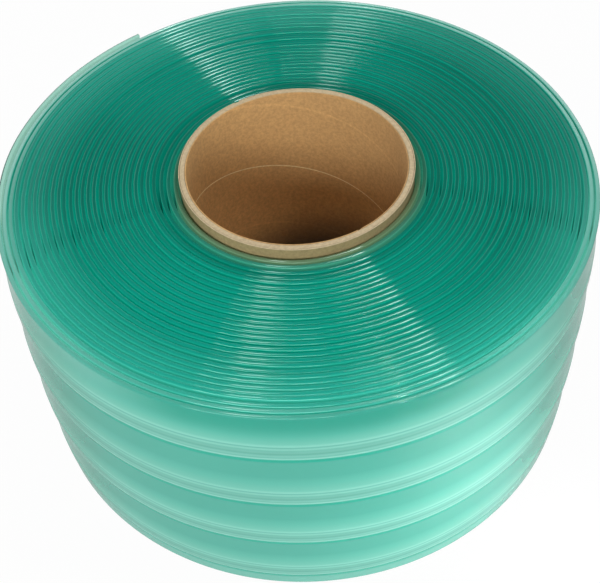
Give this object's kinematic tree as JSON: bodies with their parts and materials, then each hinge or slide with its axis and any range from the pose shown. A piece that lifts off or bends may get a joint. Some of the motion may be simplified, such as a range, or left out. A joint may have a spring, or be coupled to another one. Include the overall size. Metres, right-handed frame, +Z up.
{
  "type": "pvc strip curtain roll",
  "caption": "Bulk roll of translucent ribbed PVC strip for strip curtains, wound on a paper core and standing on end, with a loose free end that peels outward.",
  "frame": {"origin": "on the core's axis, at the floor that the roll stands on", "axes": "+Z up along the core's axis; the free end lifts off the roll at -X and points towards +Y, so -Y is the side that the picture is taken from"},
  "size_m": [0.4101, 0.4072, 0.204],
  "materials": {
    "core_board": "unbleached kraft board, spiral wound, sawn rim",
    "core_liner": "smooth kraft liner ply with a butt seam",
    "core_wrap": "smooth kraft wrap ply",
    "pvc_turns": "translucent green flexible PVC, extruded, glossy",
    "pvc_outer": "translucent green flexible PVC, extruded ribs, glossy",
    "pvc_free_end": "translucent green flexible PVC, single layer, glossy"
  },
  "bodies": {
    "roll": {"core_wall": "core_board", "core_liner_ply": "core_liner", "core_outer_ply": "core_wrap", "wound_strip": "pvc_turns", "outer_turn": "pvc_outer"},
    "tail": {"strip_tail": "pvc_free_end"}
  },
  "joints": [
    {"name": "tail_peel", "type": "hinge", "parent": "roll", "child": "tail", "pos_m": [-0.20424, -0.02689, 0.1], "axis": [0, 0, 1], "range_deg": [0, 70], "stiffness_Nm_per_rad": 0.02}
  ]
}
